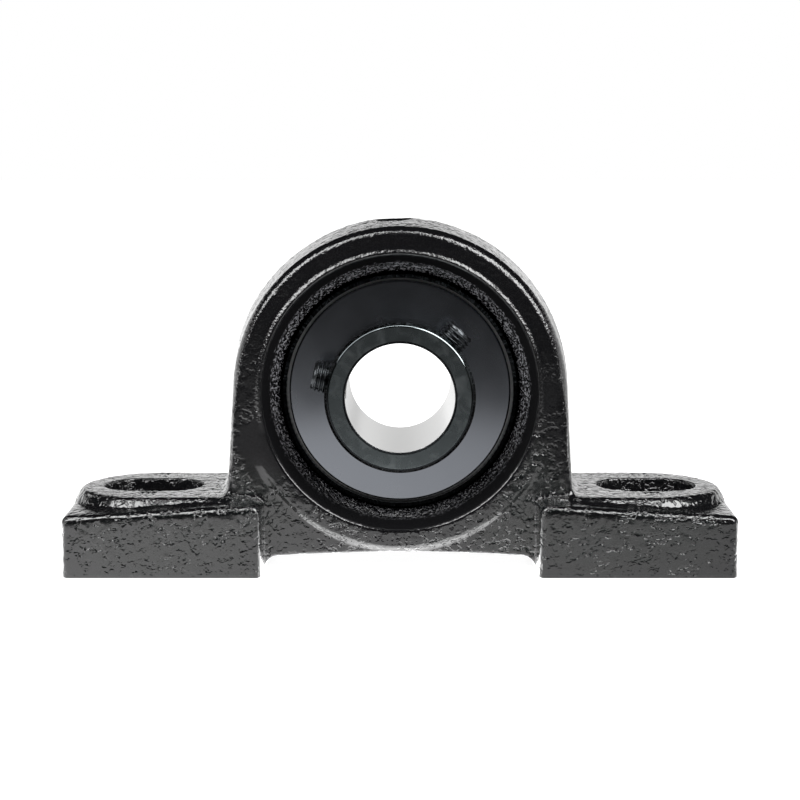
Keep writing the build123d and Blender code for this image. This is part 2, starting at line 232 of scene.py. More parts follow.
for radius, width, swelling, levels in enamelSet["beads"]:
    where = addNode(tree, "ShaderNodeMapRange", {"Value": height}, in1=levels[0], in2=levels[1])
    fall = addNode(tree, "ShaderNodeMath", {0: squarePast(tree, wander, radius)}, operation="MULTIPLY",
                   in1=-1 / width ** 2)
    bell = addNode(tree, "ShaderNodeMath", {0: fall.outputs[0]}, operation="EXPONENT")
    high = addNode(tree, "ShaderNodeMath", {0: bell.outputs[0]}, operation="MULTIPLY", in1=swelling / mm)
    bead = addNode(tree, "ShaderNodeMath", {0: high.outputs[0], 1: where.outputs[0]}, operation="MULTIPLY")
    beads.append(bead.outputs[0])
crown = addNode(tree, "ShaderNodeMapRange", {"Value": height},
                in1=enamelSet["rollLevels"][0], in2=enamelSet["rollLevels"][1],
                in3=0.0, in4=-enamelSet["edgeRoll"][1] / mm / mm)
rolled = addNode(tree, "ShaderNodeMath",
                 {0: squarePast(tree, wander, enamelSet["edgeRoll"][0]), 1: crown.outputs[0]},
                 operation="MULTIPLY")
bothBeads = addNode(tree, "ShaderNodeMath", {0: beads[0], 1: beads[1]}, operation="ADD")
rise = addNode(tree, "ShaderNodeMath", {0: bothBeads.outputs[0], 1: rolled.outputs[0]}, operation="ADD")
front = addNode(tree, "ShaderNodeMath", {0: axes.outputs["Y"]}, operation="ABSOLUTE").outputs[0]
onFace = addNode(tree, "ShaderNodeMapRange", {"Value": front},
                 in1=enamelSet["hubFace"][0], in2=enamelSet["hubFace"][1])
onHub = addNode(tree, "ShaderNodeMath", {0: front}, operation="LESS_THAN", in1=enamelSet["hubFace"][2])
atHub = addNode(tree, "ShaderNodeMath", {0: onFace.outputs[0], 1: onHub.outputs[0]}, operation="MULTIPLY")
beaded = addNode(tree, "ShaderNodeBump",
                 {"Height": rise.outputs[0], "Strength": atHub.outputs[0], "Normal": gritty.outputs[0]},
                 Distance=1.0 * mm)
# the web below the hub's ring stands straighter than the wedge that it is cut from
upward = addNode(tree, "ShaderNodeMath", {0: height}, operation="MULTIPLY", in1=-enamelSet["webLean"] / mm)
outOfRing = addNode(tree, "ShaderNodeMapRange", {"Value": turn},
                    in1=enamelSet["webRadii"][0], in2=enamelSet["webRadii"][1])
lowDown = addNode(tree, "ShaderNodeMapRange", {"Value": height},
                  in1=enamelSet["webLevels"][0], in2=enamelSet["webLevels"][1])
web = addNode(tree, "ShaderNodeMath", {0: outOfRing.outputs[0], 1: lowDown.outputs[0]},
              operation="MULTIPLY")
webOnly = addNode(tree, "ShaderNodeMath", {0: web.outputs[0], 1: onHub.outputs[0]}, operation="MULTIPLY")
skin = addNode(tree, "ShaderNodeBump",
               {"Height": upward.outputs[0], "Strength": webOnly.outputs[0], "Normal": beaded.outputs[0]},
               Distance=1.0 * mm)
# painted highlight on the cone's grains, stronger towards the top as painted light, and a matt wall where
# the spray only skimmed past
dry = addNode(tree, "ShaderNodeMapRange", {"Value": grains.outputs["Fac"]},
              in1=enamelSet["glintEdges"][0], in2=enamelSet["glintEdges"][1])
glintOnCone = addNode(tree, "ShaderNodeMath", {0: dry.outputs[0], 1: seat}, operation="MULTIPLY")
glintByHeight = addNode(tree, "ShaderNodeMapRange", {"Value": height},
                in1=enamelSet["glintLevels"][0], in2=enamelSet["glintLevels"][1],
                in3=enamelSet["glintAmounts"][0], in4=enamelSet["glintAmounts"][1])
paintedGlint = addNode(tree, "ShaderNodeMath", {0: glintOnCone.outputs[0], 1: glintByHeight.outputs[0]}, operation="MULTIPLY")
body = addNode(tree, "ShaderNodeMix", {"Factor": paintedGlint.outputs[0]}, data_type="RGBA",
               in6=hexColour(enamelSet["body"]), in7=hexColour(enamelSet["glintGrey"]))
mottle = addNode(tree, "ShaderNodeMapRange", {"Value": patches.outputs["Fac"]},
                 in3=enamelSet["roughness"] * enamelSet["mottle"][0],
                 in4=enamelSet["roughness"] * enamelSet["mottle"][1])
film = addNode(tree, "ShaderNodeMath", {1: wall}, operation="SUBTRACT", in0=1.0)
matt = addNode(tree, "ShaderNodeMath", {0: wall, 1: mottle.outputs[0]}, operation="MAXIMUM")
gleam = addNode(tree, "ShaderNodeMath", {0: film.outputs[0]}, operation="MULTIPLY_ADD",
                in1=enamelSet["wallGleam"][1], in2=enamelSet["wallGleam"][0])
shader = addNode(tree, "ShaderNodeBsdfPrincipled",
                 {"Base Color": body.outputs[2], "Roughness": matt.outputs[0], "Normal": skin.outputs[0],
                  "Coat Normal": skin.outputs[0], "Coat Weight": film.outputs[0],
                  "Specular IOR Level": gleam.outputs[0]},
                 IOR=enamelSet["ior"], Coat_Roughness=enamelSet["filmRoughness"])
addNode(tree, "ShaderNodeOutputMaterial", {"Surface": shader.outputs[0]})

# the casting, in even fine faces that carry its sand skin
castingSet = {
    "voxel": 0.28 * mm,
    "triangles": 198000,
    "swell": 0.09 * mm,             # slow waves of the mould
    "swellLength": 12 * mm,
    "swellGain": 3,                 # the waves keep their height down to a third of the full skin
    "lump": 0.03 * mm,              # lumps of the sand
    "lumpLength": 2.4 * mm,
    "dimple": 0.055 * mm,           # dents between the grains, under the enamel
    "dimpleSize": 1.0 * mm,
    "dimpleEdge": 1.6,              # how soon a dent ends, and the level that it is dented from
    "dimpleLevel": 0.6,
    "dimpleWarp": (0.7, 0.6),       # how finely and how far the dents are pushed about
    "hub": (31 * mm, 12 * mm, 13 * mm),     # radius, and the depths that its end faces lie between
    "hubSmoothing": (20 * mm, 24 * mm, 0.78),   # from this level, over this height, by this much
    "rim": (26.2 * mm, 0.16),       # radius and skin of the rim and wall, where the enamel gathers
    "cone": (24.3 * mm, 9.6 * mm),  # outer radius and depth of the seat's cone, left as cast
    "wall": (23.9 * mm, 25.65 * mm, 9.3 * mm),  # radii and least depth of the wall round the cone
    "seat": (23.5 * mm, 0.4 * mm),      # the seat is found at this radius, give or take the second
    "seatRadius": 23.545 * mm,      # and ends just clear of the insert's outer ring
    "seatHalfWidth": 7.0 * mm,
    "baseFade": 0.6 * mm,           # the skin fades out above the machined base
    "slotX": 47.5 * mm,
    "padEdge": (11.8 * mm, 16.5 * mm, 31 * mm, 12.4 * mm),  # from the foot line; least x; least z
    "padRounding": 30,              # smoothing steps at the pads' edges
    "padSides": (28 * mm, 11.9 * mm, 0.8),      # least x, least z and skin of the pads' slopes
    "padTop": (13.4 * mm, 14.6 * mm, 2.2),      # levels and skin of the bolt faces, the coarsest of all
    "markLevel": (14 * mm, 0.6 * mm),           # centre marks of the pattern, cast into the bolt faces
    "markEnds": (7.6 * mm, 12.5 * mm),
    "markSpacing": 1.2 * mm,
    "markDepth": 0.2 * mm,
    "markHalfWidth": 0.5 * mm,
    "markFacing": 0.8,              # they are cut only where the surface faces up at least this much
    "pools": [                      # places where the enamel ran smooth: centre and radius in mm
        ((-26.0, -12.5, 24.0), 5.0),
        ((-25.0, -12.5, 19.5), 4.0),
        ((28.0, -12.5, 33.0), 3.0),
    ],
    "poolEdge": (0.75, 3, 0.05),    # share of the radius that is smooth, how fast it ends, skin inside
}


def fromFootLine(points):
    # distance from the nearer foot's centre line, which ends at the middle of its slot
    x, y = np.abs(points.T[:2])
    return np.hypot(np.maximum(x - castingSet["slotX"], 0.0), y)


def readPoints(mesh):
    points = np.empty(len(mesh.vertices) * 3)
    mesh.vertices.foreach_get("co", points)
    return points.reshape(-1, 3)


def asBuilt(piece):
    # a new mesh of the piece with its modifiers applied
    depsgraph = bpy.context.evaluated_depsgraph_get()
    return bpy.data.meshes.new_from_object(piece.evaluated_get(depsgraph))


def castingForm():
    # even, fine faces over the whole form, so that the skin can be sculpted
    s = castingSet
    work = bmesh.new()
    work.from_mesh(nodes["housing"].data)
    bmesh.ops.remove_doubles(work, verts=work.verts, dist=0.001 * mm)
    mesh = bpy.data.meshes.new("castingForm")
    work.to_mesh(mesh)
    work.free()
    pattern = newPiece("castingPattern", mesh)
    form = newPiece("castingForm", mesh.copy())
    remesh = form.modifiers.new("even", "REMESH")
    remesh.mode = "VOXEL"
    remesh.voxel_size = s["voxel"]
    wrap = form.modifiers.new("true", "SHRINKWRAP")     # back onto the exact faces
    wrap.target = pattern
    wrap.wrap_method = "NEAREST_SURFACEPOINT"
    soft = form.modifiers.new("soft", "SMOOTH")
    soft.factor = 0.5
    soft.iterations = 1
    even = asBuilt(form)
    points = readPoints(even)
    fromPad = fromFootLine(points)
    inner, outer, leastX, leastZ = s["padEdge"]
    edge = (fromPad > inner) & (fromPad < outer) & (np.abs(points[:, 0]) > leastX) & (points[:, 2] > leastZ)
    worn = newPiece("castingWorn", even)
    worn.vertex_groups.new(name="padEdges").add([int(i) for i in np.flatnonzero(edge)], 1.0, "REPLACE")
    rounding = worn.modifiers.new("round", "SMOOTH")
    rounding.factor = 0.5
    rounding.iterations = s["padRounding"]
    rounding.vertex_group = "padEdges"
    final = asBuilt(worn)
    for item in (form, pattern, worn):
        bpy.data.objects.remove(item)
    return final


def skinHeight(point, amount):
    # waves, lumps and dents at one point, out of the surface
    s = castingSet
    wave = noise.noise(point / s["swellLength"]) * s["swell"]
    lump = noise.fractal(point / s["lumpLength"], 1.0, 2.0, 2) * s["lump"]
    q = point / s["dimpleSize"]
    near = noise.voronoi(q + noise.noise_vector(q * s["dimpleWarp"][0]) * s["dimpleWarp"][1])[0]
    dent = min(1.0, near[0] * s["dimpleEdge"]) ** 2 - s["dimpleLevel"]
    return wave * min(1.0, amount * s["swellGain"]) + (lump + dent * s["dimple"]) * amount


def sculptSkin(mesh):
    # along the normals; machined faces and the seat stay true
    s = castingSet
    points = readPoints(mesh)
    count = len(points)
    normals = np.empty(count * 3)
    mesh.vertex_normals.foreach_get("vector", normals)
    normals = normals.reshape(-1, 3)
    centre = np.array((0, 0, axisHeight))
    fromCentre = points - centre
    ballRadius = np.linalg.norm(fromCentre, axis=1)
    turnRadius = np.hypot(fromCentre[:, 0], fromCentre[:, 2])
    depth = np.abs(points[:, 1])
    amount = np.ones(count)
    hubRadius, faceFrom, faceTo = s["hub"]
    hubFace = (turnRadius < hubRadius) & (depth > faceFrom) & (depth < faceTo)
    levelFrom, levelOver, smoothing = s["hubSmoothing"]
    level = np.clip((points[:, 2] - levelFrom) / levelOver, 0.0, 1.0)
    amount[hubFace] = (1.0 - smoothing * level)[hubFace]     # the hub is smoother towards its top
    amount[turnRadius < s["rim"][0]] = s["rim"][1]
    cone = (turnRadius < s["cone"][0]) & (depth < s["cone"][1]) & (depth > s["seatHalfWidth"])
    amount[cone] = 1.0
    smoothShare, poolFade, poolSkin = s["poolEdge"]
    for place, radius in s["pools"]:
        away = np.linalg.norm(points - np.array(place) * mm, axis=1) / (radius * mm)
        amount *= np.clip((away - smoothShare) * poolFade, poolSkin, 1.0)
    amount *= np.clip(points[:, 2] / s["baseFade"], 0.0, 1.0)
    inSeat = (np.abs(ballRadius - s["seat"][0]) < s["seat"][1]) & (depth < s["seatHalfWidth"])
    amount[inSeat] = 0.0
    lift = np.array([skinHeight(Vector(point), amount[i]) for i, point in enumerate(points)])
    markLevel, markReach = s["markLevel"]
    markStart, markEnd = s["markEnds"]
    facesUp = normals[:, 2] > s["markFacing"]
    onPad = facesUp & (np.abs(points[:, 2] - markLevel) < markReach) & (depth > markStart)
    marks = np.array((-1, 0, 1)) * s["markSpacing"]         # three on each side of a slot
    fromMark = np.abs(np.abs(points[:, 0])[:, None] - s["slotX"] - marks).min(axis=1)
    cut = np.clip(1.0 - fromMark / s["markHalfWidth"], 0.0, 1.0) * np.clip((markEnd - depth) / mm, 0.0, 1.0)
    lift[onPad] -= (cut * s["markDepth"])[onPad]
    points += normals * lift[:, None]
    seat = centre + fromCentre / ballRadius[:, None] * s["seatRadius"]
    points[inSeat] = seat[inSeat]
    points[:, 2] = np.maximum(points[:, 2], 0.0)
    mesh.vertices.foreach_set("co", points.ravel())
    # what the enamel's bumps follow
    x, z = np.abs(points[:, 0]), points[:, 2]
    leastX, leastZ, sideSkin = s["padSides"]
    topFrom, topTo, topSkin = s["padTop"]
    pad = (fromFootLine(points) < s["padEdge"][1]) & (x > leastX) & (z > leastZ) & (z < topTo)
    amount[pad] = sideSkin
    amount[pad & (z > topFrom)] = topSkin
    wall = (turnRadius > s["wall"][0]) & (turnRadius < s["wall"][1]) & (depth > s["wall"][2])
    layers = {"castSkin": amount, "seatCone": cone.astype(float), "dryWall": wall.astype(float)}
    for name, values in layers.items():
        mesh.attributes.new(name, "FLOAT", "POINT").data.foreach_set("value", values)
    mesh.update()


def thinnedOut(mesh, triangles):
    # fewer faces where the skin is flat
    piece = newPiece("thinned", mesh)
    mesh.calc_loop_triangles()
    thin = piece.modifiers.new("thin", "DECIMATE")
    thin.ratio = triangles / len(mesh.loop_triangles)
    final = asBuilt(piece)
    bpy.data.objects.remove(piece)
    return final


castMesh = castingForm()
print("casting form:", len(castMesh.vertices), "points")
sculptSkin(castMesh)
castMesh = thinnedOut(castMesh, castingSet["triangles"])
castMesh.shade_smooth()
casting = newPiece("enamelledCasting", castMesh, enamel)
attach(casting, "housing")
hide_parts("housing")
print("casting done:", len(castMesh.polygons), "faces")

# Black-oxide finished bearing steel: a thin dark iron-oxide film on a ground or polished
# metal, so it mirrors its surroundings, but darkly and a little blue.
oxideSet = {
    "thin": "#83868c",
    "thick": "#7a7d83",
    "cloud": 7 * mm,            # the film's tint and sheen change over this length
    "roughness": 0.25,
    "sheen": (0.8, 1.25),       # shares of the roughness that it changes between
    "dish": 0.10,               # the pressed sheet falls back towards its edge, as a slope
    "lean": 0.065,              # and stands a little forward at its top
    "turning": 0.35 * mm,       # pitch of the fine turning lines, coarsened so that they show
    "turningDepth": 0.002 * mm,
}
flingerSteel, tree = newMaterial("blackOxideSheetSteel")
place, axes, lift, radius = turnedPlace(tree)
rings = addNode(tree, "ShaderNodeCombineXYZ", {"X": radius})
lines = addNode(tree, "ShaderNodeTexNoise", {"Vector": rings.outputs[0]},
                Scale=1 / oxideSet["turning"], Detail=3.0)
cloud = addNode(tree, "ShaderNodeTexNoise", {"Vector": place}, Scale=1 / oxideSet["cloud"], Detail=3.0)
sheen = addNode(tree, "ShaderNodeMapRange", {"Value": cloud.outputs["Fac"]},
                in3=oxideSet["roughness"] * oxideSet["sheen"][0],
                in4=oxideSet["roughness"] * oxideSet["sheen"][1])
bump = addNode(tree, "ShaderNodeBump", {"Height": lines.outputs["Fac"]}, Strength=0.4,
               Distance=oxideSet["turningDepth"])
forward = addNode(tree, "ShaderNodeMath", {0: lift}, operation="MULTIPLY", in1=oxideSet["lean"] / mm)
cone = addNode(tree, "ShaderNodeMath", {0: radius, 2: forward.outputs[0]}, operation="MULTIPLY_ADD",
               in1=-oxideSet["dish"] / mm)
dished = addNode(tree, "ShaderNodeBump", {"Height": cone.outputs[0], "Normal": bump.outputs[0]},
                 Strength=1.0, Distance=1.0 * mm)
tint = addNode(tree, "ShaderNodeMix", {"Factor": cloud.outputs["Fac"]}, data_type="RGBA",
               in6=hexColour(oxideSet["thick"]), in7=hexColour(oxideSet["thin"]))
shader = addNode(tree, "ShaderNodeBsdfPrincipled",
                 {"Base Color": tint.outputs[2], "Roughness": sheen.outputs[0], "Normal": dished.outputs[0]},
                 Metallic=1.0)
addNode(tree, "ShaderNodeOutputMaterial", {"Surface": shader.outputs[0]})

# Ring steel, blackened all over and ground bright in the bore; the end face is scuffed and
# carries thin patches of dried preservative.
ringSet = {
    "dark": "#868e90",
    "scuffed": "#9aa1a3",
    "smear": 3 * mm,            # size of the scuffs and of the dried patches
    "scuffEdges": (0.5, 0.68),
    "bright": "#c3c3c2",        # the ground bore
    "dirt": "#4a4a4a",          # sparse specks in it
    "speck": 0.8 * mm,
    "speckLevel": 0.77,
    "darkAndPaintedShade": "#26282a",         # darker on the bore's chamfer and the outer ring's face, and painted shade on the low and left parts of the end face's outer edge
    "outerRingDarkness": 0.62,      # the outer ring's face is a little paler than that
    "outerRingRadii": (17.4 * mm, 17.6 * mm),
    "boreEdge": 10.04 * mm,     # radius inside which the ground bore shows
    "boreChamfer": 10.42 * mm,
    "outerEdge": 13.0 * mm,     # from here out, the end face's edge is darkened as painted shade
    "shadeLevels": (5 * mm, 1 * mm),       # low down,
    "shadeSide": (1 * mm, -5 * mm, 0.85),  # and, to this much, on the left
    "edgeRoll": (12.95 * mm, 1.3),      # the end face rolls over towards its outer edge, per mm
    "roughness": 0.26,
    "sheen": (0.6, 1.5),        # shares of the roughness that it changes between
    "boreRoughness": 0.2,
    "edgeRoughness": 0.1,
}
ringSteel, tree = newMaterial("blackOxideRingSteel")
place, axes, lift, radius = turnedPlace(tree)
# scuffed face, ground bore with its specks, darker chamfers and outer ring face, and painted shade low and
# on the left of the outer edge
smear = addNode(tree, "ShaderNodeTexNoise", {"Vector": place}, Scale=1 / ringSet["smear"], Detail=5.0,
                Distortion=0.8)
scuff = addNode(tree, "ShaderNodeMapRange", {"Value": smear.outputs["Fac"]},
                in1=ringSet["scuffEdges"][0], in2=ringSet["scuffEdges"][1])
body = addNode(tree, "ShaderNodeMix", {"Factor": scuff.outputs[0]}, data_type="RGBA",
               in6=hexColour(ringSet["dark"]), in7=hexColour(ringSet["scuffed"]))
specks = addNode(tree, "ShaderNodeTexNoise", {"Vector": place}, Scale=1 / ringSet["speck"], Detail=1.0)
dirt = addNode(tree, "ShaderNodeMath", {0: specks.outputs["Fac"]}, operation="GREATER_THAN",
               in1=ringSet["speckLevel"])
ground = addNode(tree, "ShaderNodeMix", {"Factor": dirt.outputs[0]}, data_type="RGBA",
                 in6=hexColour(ringSet["bright"]), in7=hexColour(ringSet["dirt"]))
inBore = addNode(tree, "ShaderNodeMath", {0: radius}, operation="LESS_THAN", in1=ringSet["boreEdge"])
onChamfer = addNode(tree, "ShaderNodeMath", {0: radius}, operation="LESS_THAN", in1=ringSet["boreChamfer"])
# painted shade: the end face's outer edge is darkened low down and on the left
lowEdge = addNode(tree, "ShaderNodeMapRange", {"Value": lift},
                  in1=ringSet["shadeLevels"][0], in2=ringSet["shadeLevels"][1])
leftEdge = addNode(tree, "ShaderNodeMapRange", {"Value": axes.outputs["X"]},
                   in1=ringSet["shadeSide"][0], in2=ringSet["shadeSide"][1], in4=ringSet["shadeSide"][2])
paintedShadeSide = addNode(tree, "ShaderNodeMath", {0: lowEdge.outputs[0], 1: leftEdge.outputs[0]},
                 operation="MAXIMUM")
outside = addNode(tree, "ShaderNodeMath", {0: radius}, operation="GREATER_THAN", in1=ringSet["outerEdge"])
whole = addNode(tree, "ShaderNodeMath", {0: outside.outputs[0], 1: paintedShadeSide.outputs[0]},
                operation="MULTIPLY")
farOut = addNode(tree, "ShaderNodeMapRange", {"Value": radius},
                 in1=ringSet["outerRingRadii"][0], in2=ringSet["outerRingRadii"][1],
                 in3=0.0, in4=ringSet["outerRingDarkness"])
either = addNode(tree, "ShaderNodeMath", {0: whole.outputs[0], 1: farOut.outputs[0]}, operation="MAXIMUM")
darkAndShadeMask = addNode(tree, "ShaderNodeMath", {0: either.outputs[0], 1: onChamfer.outputs[0]},
               operation="MAXIMUM")
face = addNode(tree, "ShaderNodeMix", {"Factor": darkAndShadeMask.outputs[0], 6: body.outputs[2]}, data_type="RGBA",
               in7=hexColour(ringSet["darkAndPaintedShade"]))
colour = addNode(tree, "ShaderNodeMix",
                 {"Factor": inBore.outputs[0], 6: face.outputs[2], 7: ground.outputs[2]},
                 data_type="RGBA")
gloss = addNode(tree, "ShaderNodeMapRange", {"Value": smear.outputs["Fac"]},
                in3=ringSet["roughness"] * ringSet["sheen"][0],
                in4=ringSet["roughness"] * ringSet["sheen"][1])
crisp = addNode(tree, "ShaderNodeMix", {"Factor": outside.outputs[0], "A": gloss.outputs[0]},
                data_type="FLOAT", in3=ringSet["edgeRoughness"])
finish = addNode(tree, "ShaderNodeMix", {"Factor": inBore.outputs[0], "A": crisp.outputs[0]},
                 data_type="FLOAT", in3=ringSet["boreRoughness"])
# turning lines round the shaft, and the rolled outer edge
rings = addNode(tree, "ShaderNodeCombineXYZ", {"X": radius, "Y": axes.outputs["Y"]})
lines = addNode(tree, "ShaderNodeTexNoise", {"Vector": rings.outputs[0]},
                Scale=1 / oxideSet["turning"], Detail=3.0)
bump = addNode(tree, "ShaderNodeBump", {"Height": lines.outputs["Fac"]}, Strength=0.6,
               Distance=3 * oxideSet["turningDepth"])
drop = addNode(tree, "ShaderNodeMath", {0: squarePast(tree, radius, ringSet["edgeRoll"][0])},
               operation="MULTIPLY", in1=-ringSet["edgeRoll"][1] / mm / mm)
rolled = addNode(tree, "ShaderNodeBump", {"Height": drop.outputs[0], "Normal": bump.outputs[0]},
                 Strength=1.0, Distance=1.0 * mm)
shader = addNode(tree, "ShaderNodeBsdfPrincipled",
                 {"Base Color": colour.outputs[2], "Roughness": finish.outputs[0],
                  "Normal": rolled.outputs[0]},
                 Metallic=1.0)
addNode(tree, "ShaderNodeOutputMaterial", {"Surface": shader.outputs[0]})

# Alloy screw steel, thread-rolled and blackened: nearly black flanks with worn, paler crests.
blackenedSet = {
    "flanks": "#26282a",
    "crests": "#6a6d70",
    "wear": 0.6 * mm,
    "roughness": (0.2, 0.38),
}
screwSteel, tree = newMaterial("blackenedScrewSteel")
place = addNode(tree, "ShaderNodeTexCoord").outputs["Object"]
worn = addNode(tree, "ShaderNodeTexNoise", {"Vector": place}, Scale=1 / blackenedSet["wear"], Detail=3.0)
tint = addNode(tree, "ShaderNodeMix", {"Factor": worn.outputs["Fac"]}, data_type="RGBA",
               in6=hexColour(blackenedSet["flanks"]), in7=hexColour(blackenedSet["crests"]))
gloss = addNode(tree, "ShaderNodeMapRange", {"Value": worn.outputs["Fac"]},
                in3=blackenedSet["roughness"][0], in4=blackenedSet["roughness"][1])
shader = addNode(tree, "ShaderNodeBsdfPrincipled",
                 {"Base Color": tint.outputs[2], "Roughness": gloss.outputs[0]}, Metallic=1.0)
addNode(tree, "ShaderNodeOutputMaterial", {"Surface": shader.outputs[0]})

# the set screws, with real threads
screwSet = {
    "place": -13.5 * mm,        # along the shaft
    "tip": 10.4 * mm,           # cup point, from the shaft's axis
    "length": 6.0 * mm,
    "radius": 2.95 * mm,
    "pitch": 0.75 * mm,
    "threadDepth": 0.42 * mm,
    "flank": (1.25, 0.12),      # how steep a flank is, and how flat a crest
    "firstTurn": 0.45,          # the thread begins at this share of the cup's taper
    "relief": 0.3 * mm,         # below the thread's root, next to the cup
    "cupRim": 1.5 * mm,
    "cupDepth": 0.8 * mm,
    "chamfer": 0.4 * mm,
    "socketFlats": 3.0 * mm,
    "socketDepth": 2.6 * mm,
    "socketMouth": (0.1 * mm, 0.15 * mm),       # the mouth is this much wider, down to this depth
    "drilled": (0.8, 0.3 * mm, 0.7 * mm),       # drill's share of the flats, end of its cone, its point
    "centre": 0.02 * mm,        # the cup and the drill point close at this radius
    "segments": 72,
    "rowsPerPitch": 10,
}


def setScrewMesh():
    # cup point, rolled thread, chamfered head and hexagon socket in one closed skin
    s = screwSet
    head = s["length"]
    first = (s["radius"] - s["cupRim"]) * s["firstTurn"]
    steps = int(s["rowsPerPitch"] * (head - 2 * s["chamfer"]) / s["pitch"])
    rows = [(s["centre"], s["cupDepth"]), (s["cupRim"], 0),
            (s["radius"] - s["threadDepth"] - s["relief"], first)]
    threadRows = set()
    for k in range(steps + 1):
        height = first + (head - s["chamfer"] - first) * (k + 1) / (steps + 1)
        limit = min(s["radius"], s["cupRim"] + height)
        threadRows.add(len(rows))
        rows.append((limit, height))
    rows.append((s["radius"] - s["chamfer"], head))
    flats = s["socketFlats"] / 2
    widening, mouth = s["socketMouth"]
    hexRows = set()
    for depth in (0.0, mouth, s["socketDepth"]):
        hexRows.add(len(rows))
        rows.append((flats + (widening if depth == 0 else 0), head - depth))
    drillShare, drillCone, drillPoint = s["drilled"]
    rows.append((flats * drillShare, head - s["socketDepth"] - drillCone))
    rows.append((s["centre"], head - s["socketDepth"] - drillPoint))

    def shape(row, angle, radius):
        if row in hexRows:
            return radius / cos((angle % (pi / 3)) - pi / 6)
        if row in threadRows:
            phase = (rows[row][1] / s["pitch"] - angle / (2 * pi)) % 1
            valley = abs(2 * phase - 1)
            fall = s["threadDepth"] * min(1.0, max(0.0, valley * s["flank"][0] - s["flank"][1]))
            return min(radius, s["radius"] - fall)
        return radius

    return lathe(rows, s["segments"], shape)


screwBlank = setScrewMesh()
for side, angle in screwAngles.items():
    mesh = screwBlank.copy()
    outward = Vector((cos(radians(angle)), 0, sin(radians(angle))))
    along = Vector((0, 1, 0))
    turn = Matrix((along, outward.cross(along), outward)).transposed().to_4x4()
    spot = Vector((0, screwSet["place"], axisHeight)) + outward * screwSet["tip"]
    mesh.transform(Matrix.Translation(spot) @ turn)
    screw = newPiece("threadedSetScrew_" + side, mesh, screwSteel)
    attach(screw, "set_screw_" + side)
    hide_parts("set_screw_" + side)
print("set screws done")

# Pressed mild-steel sheet: a satin, slightly streaked grey.
pressedSet = {
    "dull": "#a19f9b",
    "clean": "#c6c4c0",
    "streak": 1.5 * mm,
    "streakDepth": 0.004 * mm,
    "roughness": (0.28, 0.45),
}
cageSteel, tree = newMaterial("pressedMildSteel")
place = addNode(tree, "ShaderNodeTexCoord").outputs["Object"]
streaks = addNode(tree, "ShaderNodeTexNoise", {"Vector": place}, Scale=1 / pressedSet["streak"], Detail=4.0,
                  Distortion=0.6)
tint = addNode(tree, "ShaderNodeMix", {"Factor": streaks.outputs["Fac"]}, data_type="RGBA",
               in6=hexColour(pressedSet["dull"]), in7=hexColour(pressedSet["clean"]))
gloss = addNode(tree, "ShaderNodeMapRange", {"Value": streaks.outputs["Fac"]},
                in3=pressedSet["roughness"][0], in4=pressedSet["roughness"][1])
bump = addNode(tree, "ShaderNodeBump", {"Height": streaks.outputs["Fac"]}, Strength=0.3,
               Distance=pressedSet["streakDepth"])
shader = addNode(tree, "ShaderNodeBsdfPrincipled",
                 {"Base Color": tint.outputs[2], "Roughness": gloss.outputs[0], "Normal": bump.outputs[0]},
                 Metallic=1.0)
addNode(tree, "ShaderNodeOutputMaterial", {"Surface": shader.outputs[0]})

# Lapped bearing balls: mirror-bright chrome steel with a trace of grey haze.
lappedSet = {
    "metal": "#c9cacd",
    "haze": 2 * mm,
    "roughness": (0.03, 0.09),
}
ballSteel, tree = newMaterial("lappedChromeSteel")
place = addNode(tree, "ShaderNodeTexCoord").outputs["Object"]
haze = addNode(tree, "ShaderNodeTexNoise", {"Vector": place}, Scale=1 / lappedSet["haze"], Detail=3.0)
gloss = addNode(tree, "ShaderNodeMapRange", {"Value": haze.outputs["Fac"]},
                in3=lappedSet["roughness"][0], in4=lappedSet["roughness"][1])
shader = addNode(tree, "ShaderNodeBsdfPrincipled", {"Roughness": gloss.outputs[0]}, Metallic=1.0,
                 Base_Color=hexColour(lappedSet["metal"]))
addNode(tree, "ShaderNodeOutputMaterial", {"Surface": shader.outputs[0]})

# Nitrile seal rubber, moulded: soft black with a faint bloom.
rubberSet = {
    "black": "#18181a",
    "bloom": "#26262a",
    "bloomSize": 1.2 * mm,
    "bloomDepth": 0.01 * mm,
    "roughness": 0.55,
    "ior": 1.52,
}
sealRubber, tree = newMaterial("mouldedNitrileRubber")
place = addNode(tree, "ShaderNodeTexCoord").outputs["Object"]
bloom = addNode(tree, "ShaderNodeTexNoise", {"Vector": place}, Scale=1 / rubberSet["bloomSize"], Detail=3.0)
tint = addNode(tree, "ShaderNodeMix", {"Factor": bloom.outputs["Fac"]}, data_type="RGBA",
               in6=hexColour(rubberSet["black"]), in7=hexColour(rubberSet["bloom"]))
bump = addNode(tree, "ShaderNodeBump", {"Height": bloom.outputs["Fac"]}, Strength=0.2,
               Distance=rubberSet["bloomDepth"])
shader = addNode(tree, "ShaderNodeBsdfPrincipled",
                 {"Base Color": tint.outputs[2], "Normal": bump.outputs[0]},
                 Roughness=rubberSet["roughness"], IOR=rubberSet["ior"])
addNode(tree, "ShaderNodeOutputMaterial", {"Surface": shader.outputs[0]})

# Zinc-plated shields: pale grey sheet with soft spangle.
zincSet = {
    "dull": "#a9abab",
    "clean": "#bfc1c2",
    "spangle": 1.6 * mm,
    "roughness": 0.3,
}
shieldSteel, tree = newMaterial("zincPlatedSheet")
place = addNode(tree, "ShaderNodeTexCoord").outputs["Object"]
spangle = addNode(tree, "ShaderNodeTexVoronoi", {"Vector": place}, Scale=1 / zincSet["spangle"])
tint = addNode(tree, "ShaderNodeMix", {"Factor": spangle.outputs["Color"]}, data_type="RGBA",
               in6=hexColour(zincSet["dull"]), in7=hexColour(zincSet["clean"]))
shader = addNode(tree, "ShaderNodeBsdfPrincipled", {"Base Color": tint.outputs[2]}, Metallic=1.0,
                 Roughness=zincSet["roughness"])
addNode(tree, "ShaderNodeOutputMaterial", {"Surface": shader.outputs[0]})

